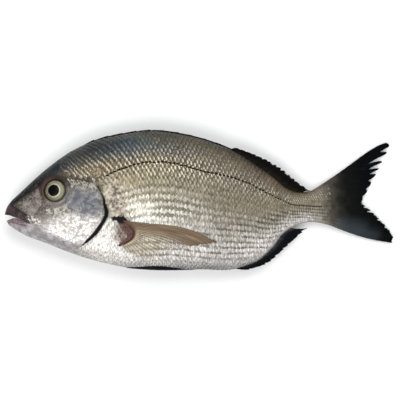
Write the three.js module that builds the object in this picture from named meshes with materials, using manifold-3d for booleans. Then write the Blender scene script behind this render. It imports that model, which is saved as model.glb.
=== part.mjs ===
// A whole raw sea bream, uncut, lying on its right flank: the head points to -X, the back to +Y, and the
// left flank faces up. Lengths are millimetres. The fish is made straight first, symmetric about its own
// middle plane z = 0, and is then laid down: the tail droops, and the surface below presses the flank flat.
// The body, its jaws, gill covers and fins are one piece of flesh and skin. The eyes sit loose in sockets.

import * as THREE from "three";
import { mergeVertices } from "three/addons/utils/BufferGeometryUtils.js";
import Module from "manifold-3d";

const wasm = await Module();
wasm.setup();

// Driving dimensions of a fish 300 mm long

const SNOUT_X = -150;
const TAIL_ROOT_X = 98;
const NOSE_ROUNDING = 2.5;
const JAW_SETBACK = 1.3;
const WIDEST_AT = 0.52;
const BACK_FULLNESS = 1.06;
const BELLY_FULLNESS = 0.9;
const FLANK_PRESSED_BY = 1.2;
const DROOP = 15.4;
const DROOP_FROM_X = -10;
const DROOP_TO_X = 150;

// The side view from snout to tail root: the back, the belly, and half the width of the body
const BACK = [
  [-150, -8], [-146, -2.8], [-137, 5.8], [-118, 22.9], [-100, 35.8], [-82, 44.3], [-60, 50.1], [-36, 53],
  [-13, 50.2], [8, 44.7], [26, 37.6], [41, 28.2], [56, 18], [66, 9.6], [75, 6], [84, 6.9], [98, 12.6],
];
const BELLY = [
  [-150, -18], [-146, -20.6], [-137, -25.7], [-118, -33.2], [-100, -40.3], [-82, -46], [-60, -51],
  [-38, -53.3], [0, -53.1], [26, -52.9], [37, -49.6], [47, -45], [56, -36.3], [63, -27], [70, -21.4],
  [84, -17], [98, -18.9],
];
const HALF_WIDTH = [
  [-150, 4], [-138, 7.3], [-118, 11.7], [-95, 15.7], [-70, 17.9], [-40, 18.6], [-15, 17.7],
  [10, 15.5], [30, 12.6], [50, 9.2], [65, 6.6], [80, 4.8], [98, 2.2],
];

// The rear edge of the gill cover, as [y, x] from the throat up
const GILL_EDGE = [
  [-40, -96.5], [-36, -89.6], [-31, -84.8], [-24.5, -79], [-18.5, -74.7], [-13.5, -72], [-8.5, -71.1],
  [-2, -73.1], [5.5, -75.8], [11.5, -79],
];
const GILL_PLATE_RISE = 0.9;
const GILL_PLATE_FADES_OVER = 26;
const GILL_SLIT = { width: 1.5, depth: 2.4, low: -39, high: 11 };

// The mouth gap between the lips and the slit behind it, as [x, upper edge, lower edge]
const MOUTH = [
  [-156, -11, -16.8], [-149, -11.5, -16.4], [-146, -11.7, -14.9], [-142.3, -13, -13.8],
  [-138.4, -14.4, -15.1], [-134.2, -16, -16.8], [-130.6, -17.7, -18.4],
];
const LIP_RISE = 0.9;
const LIP_BREADTH = 3.2;

const EYE = { x: -110.9, y: 7.1, radius: 8.3, halfDepth: 4.2, sunk: 1.6, gap: 0.35 };

// Fins: thickness of a ray at its root and tip, and of the membrane between rays
const RAY_ROOT = 2;
const RAY_TIP = 1.1;
const MEMBRANE = 0.9;
const ROOT_SUNK = 3;

// Curves and small functions

const smooth = (t) => {
  const c = Math.min(Math.max(t, 0), 1);
  return c * c * (3 - 2 * c);
};
const lerp = (a, b, t) => a + (b - a) * t;

// A repeatable number between 0 and 1 that makes the fin edges uneven
const uneven = (k) => {
  const s = Math.sin(k * 12.9898 + 4.1) * 43758.5453;
  return s - Math.floor(s);
};

// A smooth function through [x, y] points whose x values rise
function curveThrough(points) {
  const x = points.map((p) => p[0]);
  const y = points.map((p) => p[1]);
  const rise = x.slice(1).map((_, i) => (y[i + 1] - y[i]) / (x[i + 1] - x[i]));
  const slope = x.map((_, i) => {
    if (i === 0) return rise[0];
    if (i === x.length - 1) return rise[i - 1];
    const before = x[i] - x[i - 1];
    const after = x[i + 1] - x[i];
    return (after * rise[i - 1] + before * rise[i]) / (before + after);
  });
  return (at) => {
    let i = 0;
    while (i < x.length - 2 && at > x[i + 1]) i++;
    const step = x[i + 1] - x[i];
    const t = (at - x[i]) / step;
    const t2 = t * t;
    const t3 = t2 * t;
    return (
      (2 * t3 - 3 * t2 + 1) * y[i] +
      (t3 - 2 * t2 + t) * step * slope[i] +
      (3 * t2 - 2 * t3) * y[i + 1] +
      (t3 - t2) * step * slope[i + 1]
    );
  };
}

// A smooth path through [t, x, y] points, as a function of t
function pathThrough(points) {
  const x = curveThrough(points.map((p) => [p[0], p[1]]));
  const y = curveThrough(points.map((p) => [p[0], p[2]]));
  return (t) => [x(t), y(t)];
}

const back = curveThrough(BACK);
const belly = curveThrough(BELLY);
const halfWidth = curveThrough(HALF_WIDTH);
const gillEdgeX = curveThrough(GILL_EDGE);
const lipLine = curveThrough(MOUTH.map(([x, upper, lower]) => [x, (upper + lower) / 2]));

// Solids

// A closed solid from positions and triangles, with its faces turned outwards
function solid(positions, triangles) {
  const make = (triVerts) =>
    new wasm.Manifold(new wasm.Mesh({
      numProp: 3,
      vertProperties: new Float32Array(positions),
      triVerts: new Uint32Array(triVerts),
    }));
  const made = make(triangles);
  if (made.volume() > 0) return made;
  const turned = [];
  for (let i = 0; i < triangles.length; i += 3) turned.push(triangles[i], triangles[i + 2], triangles[i + 1]);
  return make(turned);
}

function solidOfGeometry(geometry) {
  const bare = new THREE.BufferGeometry()
    .setAttribute("position", geometry.getAttribute("position"))
    .setIndex(geometry.index);
  const merged = mergeVertices(bare, 1e-4);
  return solid(merged.attributes.position.array, merged.index.array);
}

function geometryOfSolid(manifold) {
  const mesh = manifold.getMesh();
  return new THREE.BufferGeometry()
    .setAttribute("position", new THREE.BufferAttribute(new Float32Array(mesh.vertProperties), 3))
    .setIndex(new THREE.BufferAttribute(new Uint32Array(mesh.triVerts), 1));
}

// A slab between two faces: columns[i][j] is a pair of points, one on each face
function slab(columns) {
  const wide = columns.length;
  const long = columns[0].length;
  const positions = [];
  for (const face of [0, 1])
    for (const column of columns) for (const pair of column) positions.push(...pair[face]);
  const near = (i, j) => i * long + j;
  const far = (i, j) => wide * long + near(i, j);
  const triangles = [];
  const quad = (a, b, c, d) => triangles.push(a, b, c, a, c, d);
  for (let i = 0; i < wide - 1; i++)
    for (let j = 0; j < long - 1; j++) {
      quad(near(i, j), near(i + 1, j), near(i + 1, j + 1), near(i, j + 1));
      quad(far(i, j + 1), far(i + 1, j + 1), far(i + 1, j), far(i, j));
    }
  for (let i = 0; i < wide - 1; i++) {
    quad(near(i + 1, 0), near(i, 0), far(i, 0), far(i + 1, 0));
    quad(near(i, long - 1), near(i + 1, long - 1), far(i + 1, long - 1), far(i, long - 1));
  }
  for (let j = 0; j < long - 1; j++) {
    quad(near(0, j), near(0, j + 1), far(0, j + 1), far(0, j));
    quad(near(wide - 1, j + 1), near(wide - 1, j), far(wide - 1, j), far(wide - 1, j + 1));
  }
  return solid(positions, triangles);
}

// The body

// The oval cut through the body at x: its middle, its reach up and down, and half its width
function section(x) {
  const d = x - SNOUT_X;
  const nose = d < NOSE_ROUNDING ? Math.sqrt(Math.max(d * (2 * NOSE_ROUNDING - d), 0)) / NOSE_ROUNDING : 1;
  const middle = belly(x) + WIDEST_AT * (back(x) - belly(x));
  return {
    middle,
    up: (back(x) - middle) * nose,
    down: (middle - belly(x)) * nose,
    half: halfWidth(x) * nose,
  };
}

// How far the gill cover and the lips stand out of the flank
function relief(x, y) {
  const inside = gillEdgeX(Math.min(Math.max(y, -40), 11.5)) - x;
  const alongGill = smooth((y + 42) / 8) * smooth((18 - y) / 8);
  const plate = smooth((inside + 2) / 4) * Math.exp(-Math.max(inside, 0) / GILL_PLATE_FADES_OVER) * alongGill;
  const fromLip = (y - lipLine(Math.max(x, SNOUT_X))) / LIP_BREADTH;
  const lip = x < -127 ? Math.exp(-fromLip * fromLip) * smooth((-127 - x) / 5) : 0;
  return GILL_PLATE_RISE * plate + LIP_RISE * lip;
}

// Half the thickness of the body at a point of its side view
function flankHeight(x, y) {
  const s = section(x);
  const c = (y - s.middle) / (y > s.middle ? s.up : s.down);
  const fullness = y > s.middle ? BACK_FULLNESS : BELLY_FULLNESS;
  const around = Math.pow(Math.max(1 - c * c, 0), fullness / 2);
  return s.half * around + relief(x, y) * around;
}

function bodyPoint(x, angle) {
  const s = section(x);
  const up = Math.cos(angle);
  const y = s.middle + (up > 0 ? s.up : s.down) * up;
  const setback = JAW_SETBACK * smooth((s.middle - y) / 5) * smooth((-134 - x) / 16);
  return [x + setback, y, Math.sign(Math.sin(angle)) * flankHeight(x, y)];
}

// Places along the body where it is cut: close at the nose and head, wider apart on the trunk
function stations() {
  const nose = 5;
  const headEnd = -90;
  const headStep = 3;
  const trunkStep = 5.9;
  const list = [];
  for (let k = 1; k <= nose; k++)
    list.push(SNOUT_X + NOSE_ROUNDING * (1 - Math.cos((k / nose) * (Math.PI / 2))));
  for (let x = SNOUT_X + NOSE_ROUNDING + headStep; x < headEnd; x += headStep) list.push(x);
  for (let x = headEnd; x < TAIL_ROOT_X; x += trunkStep) list.push(x);
  list.push(TAIL_ROOT_X);
  return list;
}

function body() {
  const around = 36;
  const rings = stations();
  const first = section(SNOUT_X);
  const last = section(TAIL_ROOT_X);
  const positions = [SNOUT_X, first.middle, 0];
  for (const x of rings)
    for (let j = 0; j < around; j++) positions.push(...bodyPoint(x, (j / around) * 2 * Math.PI));
  positions.push(TAIL_ROOT_X + 1, last.middle, 0);
  const at = (i, j) => 1 + i * around + (j % around);
  const end = 1 + rings.length * around;
  const triangles = [];
  for (let j = 0; j < around; j++) {
    triangles.push(0, at(0, j + 1), at(0, j));
    for (let i = 0; i < rings.length - 1; i++)
      triangles.push(at(i, j), at(i, j + 1), at(i + 1, j), at(i, j + 1), at(i + 1, j + 1), at(i + 1, j));
    triangles.push(end, at(rings.length - 1, j), at(rings.length - 1, j + 1));
  }
  return solid(positions, triangles);
}

// Fins

// A fan of rays with membrane between: root and tip give the ends of a ray at t from 0 to 1, notch the
// share by which the membrane falls short beside ray k, and bow how far the outer rays curve outwards
function fin({ rays, steps, root, tip, notch, bow, face }) {
  const columns = [];
  for (let c = 0; c < 2 * rays - 1; c++) {
    const isRay = c % 2 === 0;
    const t = c / (2 * rays - 2);
    const [x0, y0] = root(t);
    const [x1, y1] = tip(t);
    const length = Math.hypot(x1 - x0, y1 - y0);
    const reach = isRay ? 1 : 1 - notch((c - 1) / 2, t);
    const column = [];
    for (let j = 0; j <= steps; j++) {
      const s = lerp(-ROOT_SUNK / length, reach, j / steps);
      const curve = bow(t) * Math.sin(Math.PI * Math.min(Math.max(s, 0), 1));
      const thick = isRay ? lerp(RAY_ROOT, RAY_TIP, Math.max(s, 0)) : MEMBRANE;
      column.push(face(lerp(x0, x1, s), lerp(y0, y1, s) + curve, thick, s));
    }
    columns.push(column);
  }
  return slab(columns);
}

// A fin that stands in the fish's middle plane
const inMiddlePlane = (x, y, thick) => [[x, y, thick / 2], [x, y, -thick / 2]];

function tailFin() {
  const trailingEdge = pathThrough([
    [0, 144.6, 44.6], [0.04, 146.4, 42.4], [0.09, 144.8, 36.6], [0.18, 141.2, 29.8],
    [0.3, 136.6, 20.4], [0.42, 130, 8], [0.52, 125.6, -1.6], [0.62, 132.4, -7.8],
    [0.75, 138.8, -14.6], [0.9, 147, -24.4], [1, 149.8, -32.6],
  ]);
  return fin({
    rays: 17,
    steps: 6,
    root: (t) => [95, lerp(11.8, -17.4, t)],
    tip: trailingEdge,
    notch: (k, t) => {
      const torn = Math.exp(-(((t - 0.2) / 0.13) ** 2));
      return 0.03 + 0.03 * uneven(k + 20) + 0.15 * torn * (0.4 + 0.6 * uneven(k));
    },
    bow: (t) => lerp(1.2, -3.6, t),
    face: inMiddlePlane,
  });
}

function softDorsalFin() {
  const outerEdge = pathThrough([
    [0, 29.5, 39.6], [0.2, 42, 35.4], [0.4, 53, 30.2], [0.6, 62.5, 25], [0.8, 72.5, 17.4], [1, 81, 7.6],
  ]);
  const rootX = (t) => lerp(23, 70, t);
  return fin({
    rays: 13,
    steps: 3,
    root: (t) => [rootX(t), back(rootX(t)) - 1],
    tip: outerEdge,
    notch: (k) => 0.12 + 0.14 * uneven(k + 40),
    bow: () => 0.8,
    face: inMiddlePlane,
  });
}

function analFin() {
  const outerEdge = pathThrough([
    [0, 38, -53.3], [0.15, 46, -51.2], [0.3, 53.4, -48.2], [0.5, 61.8, -40.6], [0.7, 69.5, -33.8],
    [0.85, 76.2, -27.6], [1, 82.6, -22],
  ]);
  const rootX = (t) => lerp(26, 68, t);
  return fin({
    rays: 13,
    steps: 3,
    root: (t) => [rootX(t), belly(rootX(t)) + 1],
    tip: outerEdge,
    notch: (k) => 0.08 + 0.1 * uneven(k + 60),
    bow: () => -0.6,
    face: inMiddlePlane,
  });
}

// The stiff front spines of the back fin, folded into their groove: a low ridge stepped by the spine tips
function foldedSpines() {
  const spines = 11;
  const from = -92;
  const to = 27;
  const stepsEach = 2;
  const count = spines * stepsEach;
  const columns = [[], []];
  for (let j = 0; j <= count; j++) {
    const x = lerp(from, to, j / count);
    const alongSpine = (j % stepsEach) / stepsEach;
    const rise = lerp(0.8, 1.7, alongSpine) * smooth((x - from) / 10);
    columns[0].push([[x, back(x) - 2.5, 2.2], [x, back(x) - 2.5, -2.2]]);
    columns[1].push([[x, back(x) + rise, 0.7], [x, back(x) + rise, -0.7]]);
  }
  return slab(columns);
}

// A breast fin pressed against the flank of one side, 1 for the left and -1 for the right
function breastFin(side) {
  const root = pathThrough([[0, -55.5, -16.4], [0.33, -52, -22], [0.66, -52.2, -28], [1, -57.5, -34.3]]);
  const tip = pathThrough([
    [0, 13, -33.2], [0.15, 4, -34.4], [0.3, -8, -36], [0.45, -17, -38.8], [0.6, -26, -42.4],
    [0.75, -35.5, -45.2], [0.88, -45, -45.4], [1, -54.5, -39.8],
  ]);
  return fin({
    rays: 15,
    steps: 8,
    root,
    tip,
    notch: (k) => 0.01 + 0.03 * uneven(k + 80),
    bow: (t) => 4 * (1 - t) * (1 - t),
    face: (x, y, thick, s) => {
      const skin = flankHeight(x, y);
      const proud = 0.5 + 0.5 * thick + 0.5 * smooth(s);
      return [[x, y, side * (skin + proud)], [x, y, side * (skin - 0.8)]];
    },
  });
}

// A belly fin folded back along the keel of the belly on one side
function bellyFin(side) {
  const root = (t) => [-53 + 2 * t, lerp(2, 6.5, t)];
  const tip = (t) => [lerp(-7, -18, t), lerp(1.6, 5, t)];
  return fin({
    rays: 5,
    steps: 5,
    root,
    tip,
    notch: (k) => 0.02 + 0.04 * uneven(k + 100),
    bow: () => 1.5,
    face: (x, across, thick, s) => {
      const o = section(x);
      const skin = o.middle - o.down * Math.sqrt(1 - Math.pow(across / o.half, 2 / BELLY_FULLNESS));
      const proud = 0.5 + 0.5 * thick * (1 - 0.4 * s);
      return [[x, skin - proud, side * across], [x, skin + 0.9, side * across]];
    },
  });
}

// What is cut out of the body

function gillSlit(side) {
  const steps = 16;
  const columns = [[], []];
  for (let j = 0; j <= steps; j++) {
    const y = lerp(GILL_SLIT.low, GILL_SLIT.high, j / steps);
    const slope = gillEdgeX(y + 0.5) - gillEdgeX(y - 0.5);
    const across = new THREE.Vector2(1, -slope).normalize();
    const depth = GILL_SLIT.depth * (0.25 + 0.75 * Math.sin((Math.PI * j) / steps));
    for (const edge of [0, 1]) {
      const x = gillEdgeX(y) + across.x * edge * GILL_SLIT.width;
      const dy = y + across.y * edge * GILL_SLIT.width;
      const skin = flankHeight(x, dy);
      columns[edge].push([[x, dy, side * (skin - depth)], [x, dy, side * (skin + 4)]]);
    }
  }
  return slab(columns);
}

function mouthCut() {
  const reach = 20;
  return slab([1, 2].map((edge) => MOUTH.map((m) => [[m[0], m[edge], reach], [m[0], m[edge], -reach]])));
}

// The place of an eye on one side: its middle, and the turn that points its axis out of the head
function eyePlace(side) {
  const step = 3;
  const h = (dx, dy) => flankHeight(EYE.x + dx, EYE.y + dy);
  const out = new THREE.Vector3(
    (h(-step, 0) - h(step, 0)) / (2 * step),
    (h(0, -step) - h(0, step)) / (2 * step),
    1,
  ).normalize();
  const skin = new THREE.Vector3(EYE.x, EYE.y, flankHeight(EYE.x, EYE.y));
  const position = skin.addScaledVector(out, -EYE.sunk);
  position.z *= side;
  out.z *= side;
  return { position, quaternion: new THREE.Quaternion().setFromUnitVectors(new THREE.Vector3(0, 0, 1), out) };
}

function eyeShape(grown) {
  const radius = EYE.radius + grown;
  return new THREE.SphereGeometry(1, 20, 12).scale(radius, radius, EYE.halfDepth + grown);
}

function eyeSocket(side) {
  const { position, quaternion } = eyePlace(side);
  return solidOfGeometry(eyeShape(EYE.gap).applyQuaternion(quaternion).translate(...position.toArray()));
}

// Laying the fish down

const middleHeight = flankHeight(-40, section(-40).middle) - FLANK_PRESSED_BY;
const droop = (x) => DROOP * smooth((x - DROOP_FROM_X) / (DROOP_TO_X - DROOP_FROM_X));

function lay(manifold) {
  const geometry = geometryOfSolid(manifold);
  const p = geometry.attributes.position;
  for (let i = 0; i < p.count; i++) p.setZ(i, p.getZ(i) + middleHeight - droop(p.getX(i)));
  const block = new THREE.BoxGeometry(400, 200, 40).translate(0, 0, -20);
  return solidOfGeometry(geometry).subtract(solidOfGeometry(block));
}

// The fish

const joined = [
  tailFin(), softDorsalFin(), analFin(), foldedSpines(),
  breastFin(1), breastFin(-1), bellyFin(1), bellyFin(-1),
].reduce((whole, piece) => whole.add(piece), body());
const carved = [mouthCut(), gillSlit(1), gillSlit(-1), eyeSocket(1), eyeSocket(-1)]
  .reduce((whole, cut) => whole.subtract(cut), joined);

const skinMaterial = new THREE.MeshStandardMaterial({ color: 0xaaa28c, roughness: 0.35, metalness: 0.1 });
const eyeMaterial = new THREE.MeshStandardMaterial({ color: 0x98968a, roughness: 0.1, metalness: 0 });

const flesh = new THREE.Mesh(geometryOfSolid(lay(carved)), skinMaterial);
flesh.name = "fish";

const bream = new THREE.Group();
bream.add(flesh);
for (const [name, side] of [["eye_left", 1], ["eye_right", -1]]) {
  const eye = new THREE.Mesh(eyeShape(0), eyeMaterial);
  const { position, quaternion } = eyePlace(side);
  eye.name = name;
  eye.position.copy(position).setZ(position.z + middleHeight);
  eye.quaternion.copy(quaternion);
  bream.add(eye);
}

// The origin is on the surface below, under the middle of the fish's outline
flesh.geometry.computeBoundingBox();
const { min, max } = flesh.geometry.boundingBox;
bream.position.set(-(min.x + max.x) / 2, -(min.y + max.y) / 2, 0);

export default bream;
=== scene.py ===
# %% [markdown]
# # A raw sea bream, lying on its right flank
# This lesson dresses the solid of a whole, raw sea bream in skin, scales, fins and eyes. The head points
# to -X, the back to +Y and the left flank up. The solid gives the shape and the size. Everything made here
# is a finer version of the same surfaces, measured in the fish's own millimetres and laid down afterwards.

# %% The solid that everything follows
import bmesh
import bpy
import numpy as np
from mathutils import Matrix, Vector


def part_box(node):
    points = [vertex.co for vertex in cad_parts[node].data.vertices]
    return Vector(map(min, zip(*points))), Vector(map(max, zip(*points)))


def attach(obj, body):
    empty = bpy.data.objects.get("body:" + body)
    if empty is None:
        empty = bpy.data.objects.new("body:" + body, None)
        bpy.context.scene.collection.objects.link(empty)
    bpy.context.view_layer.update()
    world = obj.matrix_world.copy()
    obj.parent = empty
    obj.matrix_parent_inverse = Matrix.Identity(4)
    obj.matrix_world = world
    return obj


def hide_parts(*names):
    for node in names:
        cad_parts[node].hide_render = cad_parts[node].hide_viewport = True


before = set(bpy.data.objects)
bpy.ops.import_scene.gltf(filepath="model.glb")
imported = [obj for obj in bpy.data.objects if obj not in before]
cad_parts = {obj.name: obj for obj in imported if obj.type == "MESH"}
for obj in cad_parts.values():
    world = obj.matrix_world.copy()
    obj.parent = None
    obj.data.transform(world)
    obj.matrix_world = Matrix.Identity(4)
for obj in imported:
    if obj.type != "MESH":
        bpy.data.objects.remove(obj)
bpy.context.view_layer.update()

# %% [markdown]
# ## The side view
# A fish is drawn from its side view: the line of the back, the line of the belly, and how wide the body is
# in between. A few points and a smooth curve through them do that, as a spline does in a drawing. The same
# points made the solid, so the skin lies on it.

# %% Smooth curves through points
def curve_through(points):
    px, py = np.array(points, float).T
    gap = np.diff(px)
    rise = np.diff(py) / gap
    inner = (gap[1:] * rise[:-1] + gap[:-1] * rise[1:]) / (gap[1:] + gap[:-1])
    slope = np.concatenate([rise[:1], inner, rise[-1:]])

    def at(x):
        x = np.asarray(x, float)
        i = np.clip(np.searchsorted(px, x, side="right") - 1, 0, len(px) - 2)
        t = (x - px[i]) / gap[i]
        t2, t3 = t * t, t * t * t
        ends = (2 * t3 - 3 * t2 + 1) * py[i] + (3 * t2 - 2 * t3) * py[i + 1]
        return ends + gap[i] * ((t3 - 2 * t2 + t) * slope[i] + (t3 - t2) * slope[i + 1])

    return at


def path_through(points):
    x = curve_through([(t, px) for t, px, py in points])
    y = curve_through([(t, py) for t, px, py in points])
    return lambda t: (x(t), y(t))


def smooth(t):
    c = np.clip(t, 0, 1)
    return c * c * (3 - 2 * c)


def bump(distance, width):
    return np.exp(-(distance / width) ** 2)


def mix(a, b, t):
    return a + (b - a) * t


# %% The outline of the body, in millimetres
back = curve_through([
    (-150, -8), (-146, -2.3), (-137, 6.5), (-118, 23.7), (-100, 36.7), (-82, 45), (-60, 50.4), (-36, 53),
    (-13, 50.2), (8, 44.7), (26, 37.6), (41, 28.2), (56, 18), (66, 9.6), (75, 6), (84, 6.9), (98, 12.6),
    (105, 17.6)])
belly = curve_through([
    (-150, -18), (-146, -20.6), (-137, -25.7), (-118, -33.2), (-100, -40.3), (-82, -46), (-60, -51),
    (-38, -53.3), (0, -53.1), (26, -52.9), (37, -49.6), (47, -45), (56, -36.3), (63, -27), (70, -21.4),
    (84, -17), (98, -18.9), (105, -21.2)])
half_width = curve_through([
    (-150, 4), (-138, 7.3), (-118, 11.7), (-95, 15.7), (-70, 17.9), (-40, 18.6), (-15, 17.7),
    (10, 15.5), (30, 12.6), (50, 9.2), (65, 6.6), (80, 4.8), (98, 1.8), (105, 0.25)])
gill_edge = curve_through([
    (-40, -96.5), (-36, -89.6), (-31, -84.8), (-24.5, -79), (-18.5, -74.7), (-13.5, -72), (-8.5, -71.1),
    (-2, -73.1), (5.5, -75.8), (11.5, -79)])
mouth_line = curve_through([
    (-156, -13.9), (-149, -13.9), (-146, -13.3), (-142.3, -13.4), (-138.4, -14.8), (-134.2, -16.4),
    (-130.6, -18)])
side_line = curve_through([
    (-118, -6), (-96, 4), (-84, 11.2), (-73.3, 17.3), (-66.4, 21.1), (-57.2, 24.6), (-45.7, 28),
    (-36.4, 28.8), (-26.5, 28.8), (-15, 26.9), (0.4, 22.6), (11.9, 20), (21.9, 18), (31.1, 15),
    (38.7, 12.3), (48, 7.3), (55.6, 3.5), (63.3, -0.4), (69.4, -3.1), (77.1, -4.2), (88.6, -5), (106, -5)])

SNOUT_X = -150
TAIL_ROOT_X = 105
NOSE_LENGTH = 2.5
BODY_DEPTH = 106.3
WIDEST_AT = 0.52
TAIL_DROOP = 15.4
EYE_X, EYE_Y, EYE_RADIUS, EYE_HALF_DEPTH, EYE_SUNK = -110.9, 7.1, 8.3, 4.2, 1.6
SIDES = ((1, "left"), (-1, "right"))
print("deepest body", round(float(back(-36) - belly(-36)), 1), "mm")

# %% [markdown]
# ## From side view to round body
# Each cut through the body is an oval. A point of the skin is found by its place along the fish and an
# angle round that oval: 0 at the back, pi at the belly. The bones of the head stand out of the oval or sink
# into it, by amounts that depend on the place in the side view: gill covers, lips, eye sockets, nostrils.

# %% The smooth oval body
def section(x):
    """The height where the body is widest, how far it reaches up and down from there, and half its width."""
    d = x - SNOUT_X
    rounding = np.sqrt(np.maximum(d * (2 * NOSE_LENGTH - d), 0)) / NOSE_LENGTH
    nose = np.where(d < NOSE_LENGTH, rounding, 1)
    middle = mix(belly(x), back(x), WIDEST_AT)
    return middle, (back(x) - middle) * nose, (middle - belly(x)) * nose, half_width(x) * nose


def solid_flank(x, y):
    """Half the thickness of the solid at a place of the side view, with gill plate and lips."""
    middle, up, down, half = section(x)
    c = (y - middle) / np.maximum(np.where(y > middle, up, down), 1e-6)
    around = np.maximum(1 - c * c, 0) ** (np.where(y > middle, 1.06, 0.9) / 2)
    inside = gill_edge(np.clip(y, -40, 11.5)) - x
    plate = smooth((inside + 2) / 4) * np.exp(-np.maximum(inside, 0) / 26)
    plate = plate * smooth((y + 42) / 8) * smooth((18 - y) / 8)
    from_lip = (y - mouth_line(np.maximum(x, SNOUT_X))) / 3.2
    lips = np.where(x < -127, bump(from_lip, 1) * smooth((-127 - x) / 5), 0)
    return (half + 0.9 * plate + 0.9 * lips) * around


# %% Distances that draw the lines and pits of the head
def distance_to(path, x, y):
    nearest = np.full(np.shape(x), 1e9)
    for (ax, ay), (bx, by) in zip(path[:-1], path[1:]):
        along = ((x - ax) * (bx - ax) + (y - ay) * (by - ay)) / ((bx - ax) ** 2 + (by - ay) ** 2)
        t = np.clip(along, 0, 1)
        nearest = np.minimum(nearest, np.hypot(x - ax - t * (bx - ax), y - ay - t * (by - ay)))
    return nearest


def from_eye(x, y):
    return np.hypot(x - EYE_X, y - EYE_Y)


def patch(x, y, centre, radii, turn=0, edge=0.5):
    """An oval with a soft edge: 1 inside, 0 outside."""
    a = np.radians(turn)
    dx, dy = x - centre[0], y - centre[1]
    u = (dx * np.cos(a) + dy * np.sin(a)) / radii[0]
    v = (dy * np.cos(a) - dx * np.sin(a)) / radii[1]
    return smooth((1 + edge / 2 - np.hypot(u, v)) / edge)


def slit_place(x, y):
    """How far behind the front of the gill slit a place lies. The cover's rim turns in below its middle."""
    lean = gill_edge(y + 0.5) - gill_edge(y - 0.5)
    return (x - gill_edge(y)) / np.sqrt(1 + lean ** 2) + 1.8 * smooth((2 - y) / 9)


gill_slit_width = curve_through([
    (-41, 0.2), (-36, 0.4), (-32.5, 2), (-28, 3.1), (-18, 3), (-9, 3.3), (-3, 2.2), (4, 1.2), (11, 0.7),
    (13, 0.3)])
lip_top = curve_through([
    (-151, -7.5), (-146, -3.9), (-142.3, -4.4), (-137, -7.4), (-133, -9.9), (-127.8, -13.2), (-122, -19)])
FIN_ROOT = [(-59, -16.5), (-53.8, -22), (-53, -26), (-54.6, -30.5), (-59.4, -34.6)]
NOSTRILS = [((-125.6, 9.8), (1.3, 0.8)), ((-128.6, 7.9), (0.9, 0.7))]
CHEEK_LINE = [(-90.6, -2), (-91.1, -11.1), (-91.9, -21.1), (-95.7, -28.8), (-105, -32.2)]
JAW_LINE = [(-126, -18.8), (-121.5, -24.6), (-110.9, -26.5), (-98.5, -32.8), (-90.5, -38)]
SNOUT_LINE = [(-127.5, 7.2), (-131, 4.6), (-135.5, 2.4), (-139, -1)]
KNOB, KNOB_RADII = (-78.4, 21), (3.6, 4)


def from_knob(x, y):
    """Distance from the round plate above the gill cover, in its own radii."""
    return np.hypot((x - KNOB[0]) / KNOB_RADII[0], (y - KNOB[1]) / KNOB_RADII[1])


def gill_slit(x, y):
    d = slit_place(x, y)
    width = gill_slit_width(np.clip(y, -41, 13))
    ends = smooth((y + 41) / 3) * smooth((12.5 - y) / 3)
    return smooth(d / 0.4 + 0.6) * smooth((width - d + 0.4) / 0.8) * ends


def socket(x, y):
    return smooth((8.6 - from_eye(x, y)) / 0.6)


def upper_lip(x, y):
    line = mouth_line(np.clip(x, -156, -130.6))
    return smooth((lip_top(x) - y) / 0.8) * smooth((y - line + 0.3) / 0.6) * smooth((-126.5 - x) / 2)


def lower_lip(x, y):
    line = mouth_line(np.clip(x, -156, -130.6))
    return smooth((line - y + 0.3) / 0.6) * smooth((y - line + 6.2) / 2.4) * smooth((-131 - x) / 3)


def creases(x, y):
    """How much a place lies in one of the narrow grooves of the head, from 0 to 1."""
    return np.maximum.reduce([
        0.4 * bump(y - lip_top(x) - 0.2, 0.45) * smooth((-127 - x) / 3),
        0.6 * bump(distance_to(CHEEK_LINE, x, y), 0.5) * smooth((-7 - y) / 5),
        0.6 * bump(distance_to(JAW_LINE, x, y), 0.55),
        0.8 * bump(distance_to(SNOUT_LINE, x, y), 0.8),
        0.5 * bump(from_eye(x, y) - 11.6, 0.6),
        bump(from_knob(x, y) - 1.02, 0.1) * smooth((x + 82) / 4)])


def head_relief(x, y):
    height = 0.55 * bump(from_eye(x, y) - 9.9, 1.1) - 4.4 * socket(x, y)
    height = height - 0.45 * creases(x, y) + 0.4 * upper_lip(x, y) + 0.3 * lower_lip(x, y)
    height = height + 0.5 * patch(x, y, (-125.4, -15.2), (4, 2.4), -42, 0.8)
    height = height + 0.45 * patch(x, y, KNOB, KNOB_RADII, 0, 0.35)
    for centre, radii in NOSTRILS:
        height = height - 1.1 * patch(x, y, centre, radii, 35, 0.8)
    return height - 2.3 * gill_slit(x, y)


# %% A point of the skin by its place along the fish and its angle
def skin_point(x, angle, lift=0.0, relief=1.0):
    """lift is in millimetres out of the flank. Angles above pi are on the right side."""
    middle, up, down, half = section(x)
    lean = np.cos(angle)
    y = middle + np.where(lean > 0, up, down) * lean
    around = np.maximum(1 - lean * lean, 0) ** 0.5
    thick = solid_flank(x, y) + (relief * head_relief(x, y) + lift) * around
    thick = np.maximum(thick, 0.04 * around)
    setback = 1.3 * smooth((middle - y) / 5) * smooth((-134 - x) / 16)
    return np.stack([x + setback, y, np.sign(np.sin(angle)) * thick], -1)


# %% [markdown]
# ## Laying the fish down
# The fish rests on its right flank, and the soft flesh is pressed flat there. Its tail droops towards the
# table. Both are simple moves of every point, made after a piece is modelled, so that each piece stays easy
# to describe. The solid's eye tells where the fish sits in the row's frame.

# %% Laying points down and turning millimetres into metres
def eye_place(step=3.0):
    slope_x = (solid_flank(EYE_X + step, EYE_Y) - solid_flank(EYE_X - step, EYE_Y)) / (2 * step)
    slope_y = (solid_flank(EYE_X, EYE_Y + step) - solid_flank(EYE_X, EYE_Y - step)) / (2 * step)
    out = np.array([-slope_x, -slope_y, 1.0])
    out /= np.linalg.norm(out)
    return np.array([EYE_X, EYE_Y, float(solid_flank(EYE_X, EYE_Y))]) - EYE_SUNK * out, out


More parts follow.
